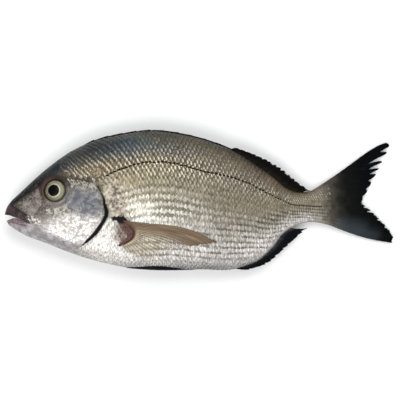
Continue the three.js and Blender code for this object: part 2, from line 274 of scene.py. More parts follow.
low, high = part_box("eye_left")
eye_centre, eye_out = eye_place()
shift = (np.array(low) + np.array(high)) * 500 - eye_centre
print("the fish is shifted by", shift.round(2), "mm")


SKIN_REST, PLATE_REST = 0.6, 0.45


def lay(points, rest=0.0):
    """rest is how far above the table, in millimetres, the points of the pressed flank come to lie."""
    x, y, z = np.asarray(points, float).T
    droop = TAIL_DROOP * smooth((x + 10) / 160)
    z = z + shift[2] - droop - rest
    z = rest + 0.5 * (z + np.sqrt(z * z + 0.5))
    return np.stack([x + shift[0], y + shift[1], z], 1) / 1000


# %% Meshes from numbers
def add_object(name, data):
    made = bpy.data.objects.new(name, data)
    bpy.context.scene.collection.objects.link(made)
    return made


def give_attribute(mesh, name, values):
    """One number, or one row of three, for each point of a mesh."""
    values = np.asarray(values, np.float32)
    kind, field = ("FLOAT_VECTOR", "vector") if values.ndim == 2 else ("FLOAT", "value")
    mesh.attributes.new(name, kind, "POINT").data.foreach_set(field, values.ravel())


def add_mesh(name, points, faces=(), edges=(), **attributes):
    mesh = bpy.data.meshes.new(name)
    mesh.from_pydata(np.asarray(points).tolist(), list(edges), [list(map(int, f)) for f in faces])
    for key, values in attributes.items():
        give_attribute(mesh, key, values)
    return add_object(name, mesh)


def get_values(data, field, width=1, kind=float):
    flat = np.zeros(len(data) * width, kind)
    data.foreach_get(field, flat)
    return flat if width == 1 else flat.reshape(-1, width)


def grid_faces(rows, columns, wrap=False):
    i, j = np.meshgrid(np.arange(rows - 1), np.arange(columns if wrap else columns - 1), indexing="ij")
    k = (j + 1) % columns
    return np.stack([i * columns + j, i * columns + k, (i + 1) * columns + k, (i + 1) * columns + j],
                    -1).reshape(-1, 4)


def ball_faces(rows, columns):
    """Faces of a row of rings, closed by fans to the two end points that follow the points of the rings."""
    faces = grid_faces(rows, columns, wrap=True).tolist()
    end_ring = (rows - 1) * columns
    for j in range(columns):
        k = (j + 1) % columns
        faces += [(rows * columns, k, j), (rows * columns + 1, end_ring + j, end_ring + k)]
    return faces


def face_out(piece):
    """Turns every face outwards and shades the piece smoothly."""
    work = bmesh.new()
    work.from_mesh(piece.data)
    bmesh.ops.recalc_face_normals(work, faces=work.faces)
    if work.calc_volume(signed=True) < 0:
        bmesh.ops.reverse_faces(work, faces=work.faces)
    work.to_mesh(piece.data)
    work.free()
    piece.data.shade_smooth()
    return piece


def plain_mesh(piece):
    """Replaces a piece's mesh by what its modifiers make of it, and removes them."""
    shown = piece.evaluated_get(bpy.context.evaluated_depsgraph_get())
    made = bpy.data.meshes.new_from_object(shown)
    old = piece.data
    piece.modifiers.clear()
    piece.data = made
    made.name = piece.name
    bpy.data.meshes.remove(old)
    return piece


# %% [markdown]
# ## Colours
# The camera saw grey-gold flanks, a slate-blue back, a pearly cheek and belly and almost black fins. A
# photograph's colours are written in the screen's own scale, and Blender mixes light in a linear one, so a
# small helper translates. The pigment of the fish is one shader group, used by the bare skin and by the
# scales, because both grow from the same fish: one row of colours for the front half, one for the rear, each
# running from the belly to the crest of the back.

# %% Helpers for nodes
def screen(r, g, b):
    c = np.array([r, g, b]) / 255
    linear = np.where(c <= 0.04045, c / 12.92, ((c + 0.055) / 1.055) ** 2.4)
    return (*map(float, linear), 1.0)


def join(tree, value, socket):
    value = getattr(value, "output", value)
    if isinstance(value, bpy.types.NodeSocket):
        tree.links.new(value, socket)
    else:
        socket.default_value = value


def add_node(tree, kind, inputs=None, **settings):
    made = tree.nodes.new(kind)
    for key, value in settings.items():
        setattr(made, key, value)
    for key, value in (inputs or {}).items():
        join(tree, value, made.inputs[key])
    return made


def new_group(name, kind, takes, gives):
    """A group of nodes. takes and gives name its sockets and their types."""
    tree = bpy.data.node_groups.new(name, kind)
    for way, sockets in (("INPUT", takes), ("OUTPUT", gives)):
        for label, socket in sockets.items():
            tree.interface.new_socket(label, in_out=way, socket_type="NodeSocket" + socket)
    return tree, tree.nodes.new("NodeGroupInput").outputs, tree.nodes.new("NodeGroupOutput").inputs


class Shade:
    """A number, place or colour that changes over a surface. What is done with it becomes shader nodes."""

    def __init__(self, tree, output):
        self.tree, self.output = tree, output

    def node(self, kind, inputs, **settings):
        return Shade(self.tree, add_node(self.tree, kind, inputs, **settings).outputs[0])

    def maths(self, operation, *others):
        return self.node("ShaderNodeMath", dict(enumerate((self, *others))), operation=operation)

    def __add__(self, other):
        return self.maths("ADD", other)

    def __mul__(self, other):
        return self.maths("MULTIPLY", other)

    def __abs__(self):
        return self.maths("ABSOLUTE")

    def span(self, low, high, to_low=0.0, to_high=1.0, kind="SMOOTHSTEP"):
        """Goes from to_low to to_high while the number goes from low to high."""
        return self.node("ShaderNodeMapRange", {0: self, 1: low, 2: high, 3: to_low, 4: to_high},
                         interpolation_type=kind)

    def noise(self, scale, detail=3.0, stretch=(1.0, 1.0, 1.0)):
        place = self.node("ShaderNodeMapping", {0: self, 3: stretch})
        return self.node("ShaderNodeTexNoise", {"Vector": place, "Scale": scale, "Detail": detail})

    def ramp(self, stops):
        made = add_node(self.tree, "ShaderNodeValToRGB", {0: self})
        elements = made.color_ramp.elements
        for element, (place, *colour) in zip(list(elements), (stops[0], stops[-1])):
            element.position, element.color = place, screen(*colour)
        for place, *colour in stops[1:-1]:
            elements.new(place).color = screen(*colour)
        return Shade(self.tree, made.outputs[0])

    def bumps(self, strength, distance):
        return self.node("ShaderNodeBump", {"Height": self, "Strength": strength, "Distance": distance})


def blend(share, first, second, mode="MIX"):
    """Mixes two colours. Each is a shade, or red, green and blue from 0 to 255."""
    tree = next(v.tree for v in (share, first, second) if isinstance(v, Shade))
    first, second = (screen(*c) if isinstance(c, tuple) else c for c in (first, second))
    made = add_node(tree, "ShaderNodeMix", {0: share, 6: first, 7: second}, data_type="RGBA", blend_type=mode)
    return Shade(tree, made.outputs[2])


def times(colour, number):
    grey = number.node("ShaderNodeCombineColor", {0: number, 1: number, 2: number})
    return blend(1.0, colour, grey, "MULTIPLY")


def two_numbers(first, second):
    return first.node("ShaderNodeCombineXYZ", {0: first, 1: second})


class Surface:
    """A new material: it reads places and attributes, and its finish goes to the Principled shader."""

    def __init__(self, name):
        self.material = bpy.data.materials.new(name)
        self.material.use_nodes = True
        self.tree = self.material.node_tree
        self.where = Shade(self.tree, add_node(self.tree, "ShaderNodeTexCoord").outputs["Object"])

    def read(self, name):
        made = add_node(self.tree, "ShaderNodeAttribute", attribute_name=name)
        return Shade(self.tree, made.outputs["Fac"])

    def paint(self, colour, parts):
        """Each part is the name of a mask, its strength and its colour. Later parts lie over earlier ones."""
        for mask, strength, over in parts:
            colour = blend(self.read(mask) * strength, colour, over)
        return colour

    def finish(self, **inputs):
        shader = self.tree.nodes["Principled BSDF"]
        labels = {socket.name.lower().replace(" ", "_"): socket.name for socket in shader.inputs}
        for key, value in inputs.items():
            join(self.tree, value, shader.inputs[labels[key]])
        return self.material


# %% The fish's pigment, from belly to back and from head to tail
FRONT_COLOURS = [
    (0.0, 156, 152, 152), (0.1, 216, 212, 208), (0.3, 253, 251, 243), (0.44, 249, 244, 229),
    (0.6, 160, 149, 121), (0.78, 124, 109, 82), (0.87, 62, 70, 74), (0.93, 30, 52, 67),
    (0.965, 66, 68, 65), (1.0, 24, 22, 18)]
REAR_COLOURS = [
    (0.0, 92, 92, 95), (0.07, 178, 174, 172), (0.14, 206, 201, 197), (0.34, 154, 147, 136),
    (0.55, 119, 110, 91), (0.74, 93, 83, 64), (0.88, 86, 73, 54), (0.95, 78, 65, 46), (1.0, 36, 30, 22)]
TAIL_ROOT_COLOURS = [
    (0.0, 120, 112, 95), (0.22, 76, 70, 61), (0.42, 36, 35, 32), (0.6, 11, 12, 11), (1.0, 1, 2, 3)]


def split(where):
    outputs = add_node(where.tree, "ShaderNodeSeparateXYZ", {0: where}).outputs
    return [Shade(where.tree, output) for output in outputs]


def tail_root(where):
    """The colour from the scaled tail root into the fin, so that both share it without a seam."""
    x, y, z = split(where)
    along = (y + 0.003) * 0.14 + x + (where.noise(120.0) * 0.014 + -0.008)
    return along.span(0.09, 0.13, kind="LINEAR").ramp(TAIL_ROOT_COLOURS)


def row_wave(row):
    """1 on even rows of scales and -1 on odd ones."""
    return (row * 3.14159).maths("COSINE")


def make_pigment():
    tree, takes, gives = new_group("bream_pigment", "ShaderNodeTree", dict(
        Where="Vector", Height="Float", Row="Float"), dict(Colour="Color"))
    where, height, row = (Shade(tree, takes[label]) for label in ("Where", "Height", "Row"))
    x = split(where)[0]
    wavy = height + (where.noise(40.0, 5.0, (0.5, 1.0, 1.0)) * 0.2 + -0.1)
    colour = blend(x.span(-0.06, 0.02), wavy.ramp(FRONT_COLOURS), wavy.ramp(REAR_COLOURS))
    nape = x.span(-0.05, -0.085) * height.span(0.78, 0.92, 0.0, 0.8)
    colour = blend(nape, colour, (16, 19, 23))
    blotch = where.noise(60.0, 3.0, (0.45, 1.3, 1.0)).span(0.35, 0.75)
    colour = blend(blotch * 0.32, colour, (92, 90, 66))
    flank_only = height.span(0.26, 0.4) * height.span(0.78, 0.62)
    uneven = where.noise(55.0, 4.0, (0.5, 1.0, 1.0)).span(0.32, 0.62, 0.3, 1.0)
    stripe = row_wave(row).span(0.0, 0.9) * flank_only * uneven
    colour = blend(stripe * 0.78, colour, (80, 75, 54))
    colour = times(colour, where.noise(620.0, 4.0, (2.1, 0.55, 1.0)).span(0.32, 0.68, 0.55, 1.46))
    colour = blend(x.span(0.08, 0.1), colour, tail_root(where))
    join(tree, colour, gives["Colour"])
    return tree


pigment = make_pigment()


def fish_colour(surface, row):
    inputs = {"Where": surface.where, "Height": surface.read("height"), "Row": row}
    return surface.where.node("ShaderNodeGroup", inputs, node_tree=pigment)


# %% [markdown]
# ## The skin
# The skin is one closed surface over body and head. It is a fine grid bent round the ovals, because the
# head's grooves and pits are then only changes of height. The mouth goes right through the jaws, which a
# height can't do, so a thin wedge is cut out of the grid with a Boolean.

# %% Making the skin
MOUTH_WEDGE = [
    (-156, -10.8, -17), (-149, -11.3, -16.4), (-146, -11.7, -14.9), (-142.3, -13, -13.8),
    (-138.4, -14.45, -15.05), (-134.2, -16.1, -16.7), (-130.6, -17.75, -18.3)]


def cut_mouth(piece):
    """The wedge has a place, an upper and a lower height at each of its corners."""
    outline = [(x, upper) for x, upper, lower in MOUTH_WEDGE]
    outline += [(x, lower) for x, upper, lower in MOUTH_WEDGE[::-1]]
    count = len(outline)
    faces = [range(count)[::-1], range(count, 2 * count)]
    faces += [(j, (j + 1) % count, (j + 1) % count + count, j + count) for j in range(count)]
    wedge = face_out(add_mesh("mouth_wedge", [(x, y, z) for z in (-20, 20) for x, y in outline], faces))
    cut = piece.modifiers.new("mouth", "BOOLEAN")
    cut.operation = "DIFFERENCE"
    cut.solver = "EXACT"
    cut.object = wedge
    made = plain_mesh(piece)
    bpy.data.objects.remove(wedge)
    return made


def make_skin():
    """The skin as it lies, and its points on the straight fish."""
    nose = SNOUT_X + NOSE_LENGTH * (1 - np.cos(np.linspace(0.1, 1, 8) * np.pi / 2))
    along = np.concatenate([nose, np.linspace(nose[-1] + 0.6, -64, 136), np.linspace(-62.6, TAIL_ROOT_X, 84)])
    angles = np.linspace(0, 2 * np.pi, 320, endpoint=False)
    points = skin_point(along[:, None], angles[None, :], lift=-0.22).reshape(-1, 3)
    ends = [(SNOUT_X, float(section(-149.9)[0]), 0), (TAIL_ROOT_X + 0.4, float(section(104.0)[0]), 0)]
    faces = [face[::-1] for face in ball_faces(len(along), len(angles))]
    skin = cut_mouth(face_out(add_mesh("skin", np.concatenate([points, ends]), faces)))
    straight = get_values(skin.data.vertices, "co", 3)
    skin.data.vertices.foreach_set("co", lay(straight, SKIN_REST).ravel())
    skin.data.update()
    skin.data.shade_smooth()
    return skin, straight


skin, skin_straight = make_skin()
print("skin:", len(skin.data.polygons), "faces")

# %% [markdown]
# The colours of the head follow its parts, not only its height: lips, cheek, gill cover, the brown ring
# round the eye, the throat. Each is a soft-edged mask, worked out once for every point of the skin and
# stored on the mesh as an attribute, which the material then reads. Some masks paint shade instead: in the
# grooves, in the gill slit and in the socket's gap round the eye. The jaw bone's pale patch also carries
# painted highlights.

# %% Masks of the head
def height_of(points):
    """Height in the side view, from 0 at the belly to 1 at the back."""
    x, y = points[:, 0], points[:, 1]
    middle, up, down, half = section(np.clip(x, SNOUT_X + 0.1, TAIL_ROOT_X))
    share = (y - middle) / np.maximum(np.where(y > middle, up, down), 1e-6)
    return np.clip(share * 0.5 + 0.5, 0, 1)


def depth_inside(points):
    x, y, z = points.T
    shell = solid_flank(np.clip(x, SNOUT_X + 0.1, TAIL_ROOT_X), y)
    near_mouth = smooth((-128.5 - x) / 1.5) * smooth((4.5 - np.abs(y + 14.5)) / 1)
    return near_mouth * smooth((shell - 1.1 - np.abs(z)) / 1.0)


def head_masks(points):
    x, y = points[:, 0], points[:, 1]
    eye = from_eye(x, y)
    bearing = np.arctan2(y - EYE_Y, x - EYE_X)
    is_head = smooth((0.6 - slit_place(x, np.clip(y, -40, 11.5))) / 1.2) * smooth((24 - y) / 10)
    above_jaw_line = y - np.interp(x, *np.array(JAW_LINE).T)
    nostrils = [patch(x, y, c, (r[0] * 1.1, r[1] * 1.1), 35, 0.7) for c, r in NOSTRILS]
    wavy_x, wavy_y = x + 1.6 * np.sin(0.8 * y), y + 1.4 * np.sin(0.7 * x + 1)
    below_nape = smooth((0.84 - height_of(points)) / 0.1)
    by_fin = smooth((-14 - y) / 5) * smooth((y + 35.6) / 2)
    return dict(
        crease=np.maximum.reduce([creases(x, y), *nostrils]),
        gill=gill_slit(x, y),
        rim=socket(x, y),
        inside=depth_inside(points),
        upper_lip=upper_lip(x, y),
        lower_lip=lower_lip(x, y),
        orbit=smooth((13.5 - eye) / 4) * smooth((np.sin(bearing - 0.5) + 0.45) / 0.7),
        lid=smooth((11.4 - eye) / 1.4) * smooth((-np.cos(bearing + 0.25) - 0.1) / 0.7),
        cheek=patch(x, y, (-95.5, -21.8), (21.5, 11), 4, 0.6) * is_head,
        cover=patch(wavy_x, wavy_y, (-88, -1.6), (15.5, 10), -14, 1.1) * is_head,
        jaw=smooth(-above_jaw_line / 1.5) * smooth((-88 - x) / 6),
        head=is_head,
        breast=patch(x, y, (-64.5, 1), (6.5, 17), 14, 0.9),
        snout=patch(x, y, (-129, -1), (17, 12), -30, 0.9) * is_head * below_nape,
        fin_base=patch(x, y, (-57.5, -24.5), (9.5, 10.5), 0, 1.2),
        knob=patch(x, y, KNOB, (3.9, 4.3), 0, 0.4),
        fin_root=smooth((3.9 - distance_to(FIN_ROOT, x, y)) / 2) * by_fin,
        jaw_bone=0.8 * patch(x, y, (-127, -15.6), (6.4, 2.4), -25, 0.6),
        axil=np.maximum(patch(x, y, (-61, -14.6), (7, 3.4), -6, 0.5),
                        patch(x, y, (-62.4, -34.3), (2.4, 1.3), -10, 0.7)))


for name, values in dict(head_masks(skin_straight), height=height_of(skin_straight)).items():
    give_attribute(skin.data, name, values)

# %% The skin's material
HEAD_COLOURS = [
    (0.0, 146, 140, 140), (0.3, 158, 150, 146), (0.46, 130, 122, 115), (0.6, 114, 106, 97),
    (0.66, 58, 54, 48), (0.72, 9, 11, 11), (1.0, 3, 4, 5)]


def make_skin_material():
    surface = Surface("skin")
    where, head, height, snout = surface.where, *map(surface.read, ("head", "height", "snout"))
    fine = where.noise(700.0, 4.0)
    coarse = where.noise(190.0, 5.0)
    dapple = coarse.span(0.4, 0.66)
    speck = fine.span(0.4, 0.6)
    bare_head = (height + (coarse * 0.3 + -0.15)).ramp(HEAD_COLOURS)
    colour = blend(head, fish_colour(surface, 0.0), bare_head)
    olive = where.noise(85.0).span(0.5, 0.68, 0.0, 0.55) * head * height.span(0.84, 0.72)
    colour = blend(olive, colour, (78, 76, 52))
    # Painted highlight: pale glints of the wet skin on the lower part of the head.
    painted_wet_highlight = where.noise(330.0, 4.0).span(0.52, 0.64) * head * height.span(0.8, 0.7, 0.0, 0.3)
    colour = blend(painted_wet_highlight, colour, (196, 188, 176))
    ruddy = blend(speck * 0.3, blend(dapple, (68, 61, 55), (136, 127, 121)), (160, 152, 144))
    colour = blend(snout * 0.94, colour, ruddy)
    pepper = where.noise(560.0, 5.0).span(0.5, 0.6, 0.0, 0.75) * head * height.span(0.42, 0.54)
    colour = blend(pepper * (snout * -0.7 + 1.0), colour, (62, 58, 54))
    slate = blend(speck * 0.45, blend(dapple, (72, 74, 88), (140, 139, 141)), (170, 168, 166))
    colour = surface.paint(colour, [
        ("cheek", 1.0, blend(speck, (206, 201, 199), (250, 248, 247))),
        ("cover", 1.0, slate),
        ("jaw", 1.0, blend(dapple, (131, 126, 128), (169, 164, 165))),
        ("orbit", 1.0, (44, 35, 27)),
        ("lid", 0.7, (78, 58, 50)),
        ("breast", 0.6, blend(dapple, (112, 92, 72), (196, 180, 160))),
        ("fin_base", 1.0, blend(speck, (80, 61, 54), (114, 95, 88))),
        ("knob", 1.0, blend(speck, (98, 87, 68), (152, 139, 114))),
        ("fin_root", 1.0, blend(speck, (60, 34, 28), (86, 54, 44))),
        ("upper_lip", 1.0, blend(dapple, (40, 30, 33), (74, 58, 60))),
        ("lower_lip", 1.0, blend(speck, (92, 77, 80), (128, 112, 115))),
        # The jaw bone's own pale colour, with painted highlights speckled over it.
        ("jaw_bone", 1.0, blend(speck, (96, 88, 84), (226, 222, 216))),
        # Painted shade in the head's grooves and nostrils.
        ("crease", 0.7, (44, 40, 36)),
        ("axil", 1.0, (12, 9, 7)),
        # Painted shade in the socket's narrow gap round the eye.
        ("rim", 1.0, (62, 52, 42)),
        # Painted shade: the gill slit is painted almost black.
        ("gill", 1.0, (5, 3, 3)),
        ("inside", 1.0, (60, 26, 24))])
    shut = surface.read("gill").maths("MAXIMUM", surface.read("axil")) * 0.95
    return surface.finish(
        base_color=times(colour, fine.span(0.3, 0.7, 0.8, 1.12)),
        roughness=coarse.span(0.3, 0.7, 0.34, 0.56).maths("MAXIMUM", shut),
        specular_ior_level=0.22, coat_weight=0.04, coat_roughness=0.2,
        normal=(coarse * 0.25 + fine * 0.75).bumps(0.5, 0.0006))


skin.data.materials.append(make_skin_material())
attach(skin, "root")
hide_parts("fish")

# %% [markdown]
# ## The scales
# A bream's flank is tiled with thin round plates, set in rows like the slates of a roof: each plate's rear
# edge lies over the roots of the next ones. Modelling each by hand would be hopeless, and a texture has no
# edges to catch the light. Geometry Nodes put one small plate on each of some thousands of points. The
# points are worked out on the skin: rows run with the fish's side line, every second row is set back by half
# a plate, and plates shrink towards the tail.

# %% One plate
PLATE_TOP_POINTS = 20


def make_plate():
    """A domed top of 4 by 5 points, an underside 0.06 below it and a rim between them."""
    uu, vv = np.meshgrid([-1.0, -0.15, 0.5, 0.86], [-1.0, -0.55, 0.0, 0.55, 1.0], indexing="ij")
    x = uu - 0.34 * vv ** 2 * np.array([0.1, 0.35, 0.9, 1.0])[:, None] + 0.14
    y = vv * np.array([0.6, 1.0, 0.9, 0.62])[:, None]
    z = 0.1 * (uu + 1) - 0.07 * vv ** 2
    top = np.stack([x, y, z], -1).reshape(-1, 3)
    rim = [0, 1, 2, 3, 4, 9, 14, 19, 18, 17, 16, 15, 10, 5]
    below = PLATE_TOP_POINTS + np.arange(len(rim))
    faces = grid_faces(4, 5).tolist()
    faces += zip(rim, below, np.roll(below, -1), np.roll(rim, -1))
    faces.append(below[::-1])
    both = np.concatenate([top, top[rim] - np.array([0, 0, 0.06])])
    rear, across = (np.concatenate([v.ravel(), v.ravel()[rim]]) for v in (uu, vv))
    return face_out(add_mesh("plate", both, faces, rear=rear, across=across))


plate = make_plate()
print("a plate has", len(plate.data.polygons), "faces")

# %% Where the plates go
PLATE_GAP = 3.17
GIRTH = np.linspace(0, np.pi, 241)


def plate_size(x):
    rear = ((back(x) - belly(x)) / BODY_DEPTH) ** 0.4
    return np.where(x > -36, rear, mix(1.0, 0.66, smooth((-56 - x) / 44)))


def rows_on_flank(first_x, last_x, rows_up, rows_down, finer=1.0):
    """Place, angle and number of row of each plate on the left flank, in straight millimetres."""
    along = np.linspace(first_x, last_x, 260)
    cuts = skin_point(along[:, None], GIRTH[None, :])
    steps = np.linalg.norm(np.diff(cuts, axis=1), axis=2)
    arc = np.concatenate([np.zeros((len(along), 1)), np.cumsum(steps, axis=1)], axis=1)
    line = side_line(along)
    start = np.array([np.interp(-line[i], -cuts[i, :, 1], arc[i]) for i in range(len(along))])
    size = plate_size(along) * finer
    phase = np.concatenate([[0], np.cumsum(np.diff(along) / (PLATE_GAP * 0.5 * (size[1:] + size[:-1])))])
    found = []
    for row in range(-rows_up, rows_down + 1):
        straighten = 0.0 if row <= 0 else 0.65 * row / rows_down
        from_line = 3.15 * row if row <= 0 else 3.0 * row - 0.011 * row * row * finer
        target = start + from_line * size + straighten * (line - 26)
        angle = np.array([np.interp(target[i], arc[i], GIRTH) for i in range(len(along))])
        usable = (target > 0.6) & (target < arc[:, -1] - 0.4)
        wanted = np.arange(np.ceil(phase[0]), phase[-1] - 1) + (0.56 * row) % 1
        wanted = wanted[np.interp(wanted, phase, usable.astype(float)) > 0.99]
        place, turn = np.interp(wanted, phase, along), np.interp(wanted, phase, angle)
        found.append(np.stack([place, turn, row + 0 * place], 1))
    return np.concatenate(found)


places = rows_on_flank(-119, 101.5, 28, 44)
cheek_places = rows_on_flank(-124, -68, 20, 60, finer=0.6)
print(len(places), "places for plates on a flank")

# %% Which places carry a plate
def carries_plate(x, y):
    behind = slit_place(x, np.clip(y, -40, 12)) > gill_slit_width(np.clip(y, -41, 13)) + 1.4
    nape = (y > np.interp(x, [-119, -104, -95, -84, -79, -76], [24, 20.5, 18, 16.5, 13.4, 9])) & (x > -107)
    throat = (y < -38) & (x > -93)
    trunk = np.where(y > 11.5, nape, np.where(y < -39.5, throat, behind))
    fin_root = (distance_to(FIN_ROOT, x, y) < 3.6) | (patch(x, y, (-61, -14.6), (7, 3.4), -6) > 0.3)
    return trunk & ~fin_root & (from_knob(x, y) >= 1.28) & (x < 98.5 + 1.8 * np.sin(y * 1.7))


def cheek_plate(x, y):
    on_cover = (slit_place(x, np.clip(y, -40, 12)) < -1.2) & (x > -115 + 2.5 * np.sin(y * 0.9))
    clear = (from_eye(x, y) > 13.2) & (distance_to(CHEEK_LINE, x, y) > 0.9)
    top = np.interp(x, [-119, -104, -95, -84, -79], [14, 17, 15, 13, 11])
    bottom = np.interp(x, [-116, -104, -94, -84, -76], [-20, -24, -29, -33, -24])
    return on_cover & clear & (y < top) & (y > bottom)


# How strongly the plates' painted shade and painted highlight show, from the belly at 0 to the back at 1.
plate_painted_light_strength = curve_through([
    (0, 0.5), (0.2, 0.28), (0.45, 0.08), (0.57, 0.14), (0.64, 0.5), (0.71, 1), (0.79, 1), (0.86, 0.85),
    (0.92, 0.7), (1, 0.35)])


def plate_masks(points):
    masks = head_masks(points)
    x, height = points[:, 0], height_of(points)
    to_rear = smooth((x + 25) / 60)
    top_dot = mix(0.3, 0.5, smooth((x + 20) / 60))
    dotted = smooth((height - 0.035) / 0.07) * smooth((top_dot - height) / 0.12) * smooth((x + 74) / 30)
    kept = {key: masks[key] for key in ("cheek", "cover", "head", "breast", "fin_base", "axil")}
    # The painted shade and highlight are weaker on the gill cover and towards the tail.
    contrast = plate_painted_light_strength(height) * (1 - 0.7 * masks["cover"]) * mix(1, 0.55, to_rear)
    return dict(kept, height=height, contrast=contrast, dotted=dotted)


def unit(vectors):
    return vectors / np.linalg.norm(vectors, axis=1)[:, None]


def place_points(name, found, side, length, lift, keep):
    """Points for plates, each with its turn, its size and the masks that its colour needs."""
    spots = skin_point(found[:, 0], found[:, 1])
    x, a, row = found[keep(spots[:, 0], spots[:, 1])].T
    mirror = np.array([1, 1, side])
    shake = np.random.default_rng(5).normal(0, 1, (2, len(x)))
    x, a = x + 0.13 * shake[0], a + 0.005 * shake[1]

    def smooth_place(dx, da, relief=0):
        return lay(skin_point(x + dx, a + da, lift, relief) * mirror, PLATE_REST)

    ahead = unit(smooth_place(0.8, 0) - smooth_place(-0.8, 0))
    out = unit(np.cross(ahead, smooth_place(0, -0.03) - smooth_place(0, 0.03)) * side)
    across = np.cross(out, ahead)
    turn = np.stack([np.arctan2(across[:, 2], out[:, 2]), np.arcsin(np.clip(-ahead[:, 2], -1, 1)),
                     np.arctan2(ahead[:, 1], ahead[:, 0])], 1)
    straight = skin_point(x, a)
    height = height_of(straight)
    size = plate_size(x)[:, None] * np.array(length)[None, :]
    size[:, 2] *= mix(1, 0.4, smooth((height - 0.76) / 0.12))
    size *= mix(1, 0.6, smooth((np.abs(height - 0.5) - 0.43) / 0.05))[:, None]
    return add_mesh(name, smooth_place(0, 0, relief=1), turn=turn, size=size, row=row,
                    number=np.arange(len(x)), **plate_masks(straight))


# %% A Geometry Nodes tree that sets one plate on each point
def named(tree, name, kind):
    return add_node(tree, "GeometryNodeInputNamedAttribute", {"Name": name}, data_type=kind).outputs[0]


def finish_tree(tree, geometry, material, gives):
    whole = add_node(tree, "GeometryNodeRealizeInstances", {0: geometry}).outputs[0]
    painted = add_node(tree, "GeometryNodeSetMaterial", {0: whole, 2: material}).outputs[0]
    join(tree, painted, gives[0])
    return tree


def vector_maths(tree, operation, inputs):
    return add_node(tree, "ShaderNodeVectorMath", inputs, operation=operation).outputs[0]


def plates_tree():
    tree, takes, gives = new_group("set_plates", "GeometryNodeTree", dict(
        Geometry="Geometry", Plate="Object", Unevenness="Float", Seed="Int", Material="Material"),
        dict(Geometry="Geometry"))
    points = add_node(tree, "GeometryNodeMeshToPoints", {0: takes["Geometry"]}).outputs[0]
    shape = add_node(tree, "GeometryNodeObjectInfo", {0: takes["Plate"]}).outputs["Geometry"]
    chance, tone = (add_node(tree, "FunctionNodeRandomValue", {"Seed": takes["Seed"]}, data_type=kind)
                    for kind in ("FLOAT_VECTOR", "FLOAT"))
    spread = vector_maths(tree, "SUBTRACT", {0: chance.outputs[0], 1: (0.5, 0.5, 0.5)})
    jitter = vector_maths(tree, "SCALE", {0: spread, "Scale": takes["Unevenness"]})
    turn = vector_maths(tree, "ADD", {0: named(tree, "turn", "FLOAT_VECTOR"), 1: jitter})
    rotation = add_node(tree, "FunctionNodeEulerToRotation", {0: turn}).outputs[0]
    placed = add_node(tree, "GeometryNodeInstanceOnPoints", {
        "Points": points, "Instance": shape, "Rotation": rotation,
        "Scale": named(tree, "size", "FLOAT_VECTOR")}).outputs[0]
    toned = add_node(tree, "GeometryNodeStoreNamedAttribute", {
        "Geometry": placed, "Name": "tone", "Value": tone.outputs[1]}, data_type="FLOAT", domain="INSTANCE")
    return finish_tree(tree, toned.outputs[0], takes["Material"], gives)


def grow(piece, tree, **inputs):
    """Runs a Geometry Nodes tree on a piece and keeps the result as a plain mesh."""
    modifier = piece.modifiers.new(tree.name, "NODES")
    modifier.node_group = tree
    for item in tree.interface.items_tree:
        if item.in_out == "INPUT" and item.name.lower() in inputs:
            modifier[item.identifier] = inputs[item.name.lower()]
    return plain_mesh(piece)


set_plates = plates_tree()

# %% [markdown]
# ### The finish of a scale
# A scale is clear, hard and a little silvery. The pigment under it shows through. Its free rear edge, where
# it shades the next plate, and its root under the plate before are darkened as painted shade, and a painted
# highlight, a bright streak, runs just ahead of that edge, leaning across the plate. Each plate is a little
# lighter or darker than its neighbours, which a number per plate gives.

# %% The scales' material
def make_scale_material():
    surface = Surface("scales")
    names = ("rear", "across", "row", "height", "contrast", "dotted", "tone")
    rear, upward, row, height, contrast, dotted, tone = map(surface.read, names)
    where = surface.where
    patchy = where.noise(380.0, 5.0).span(0.34, 0.66)
    colour = surface.paint(fish_colour(surface, row), [
        ("head", 0.8, blend(where.noise(480.0, 4.0).span(0.42, 0.58), (66, 62, 58), (178, 171, 162))),
        ("cheek", 1.0, blend(where.noise(420.0).span(0.4, 0.62), (180, 172, 166), (248, 244, 240))),
        ("cover", 1.0, blend(where.noise(260.0).span(0.4, 0.62), (80, 82, 93), (124, 124, 125))),
        ("breast", 0.9, blend(patchy, (62, 50, 38), (200, 188, 168))),
        ("fin_base", 1.0, blend(patchy, (80, 61, 54), (120, 101, 94)))])
    colour = times(colour, tone.span(0.0, 1.0, 0.86, 1.13))
    # Painted shade: the plate's free rear edge, where it shades the next plate, and its root, under the plate
    # before it, are darkened.
    edge = rear.span(0.66, 0.86) * 0.8
    root = rear.span(0.25, -0.3) * 0.5
    colour = blend(edge.maths("MAXIMUM", root) * contrast, colour, (44, 40, 30))
    # Painted highlight: a bright streak leaning across the plate just ahead of its rear edge, stronger lower
    # on the flank. The same streak makes that spot a little metallic.
    lean = abs(upward * 0.34 + -0.34 + rear)
    painted_glint = lean.span(0.34, 0.1) * abs(upward).span(0.82, 0.4) * where.noise(330.0, 2.0).span(0.36, 0.56)
    shine = height.span(0.95, 0.74, 0.1, 0.62)
    colour = blend(painted_glint * shine * contrast, colour, (242, 232, 206))
    from_spot = abs(abs(rear + -0.3) * 0.8 + upward + -0.25)
    fading = where.noise(210.0).span(0.34, 0.6, 0.35, 1.0)
    spot = from_spot.span(0.75, 0.3) * row_wave(row).span(0.0, 0.5) * dotted * fading
    colour = blend(spot * 0.8, colour, (48, 46, 38))
    return surface.finish(
        base_color=surface.paint(colour, [("axil", 1.0, (12, 9, 7))]),
        metallic=painted_glint * 0.25 * contrast,
        roughness=where.noise(700.0, 2.0).span(0.3, 0.7, 0.28, 0.48),
        specular_ior_level=0.4, coat_weight=0.1, coat_roughness=0.15)


scale_material = make_scale_material()

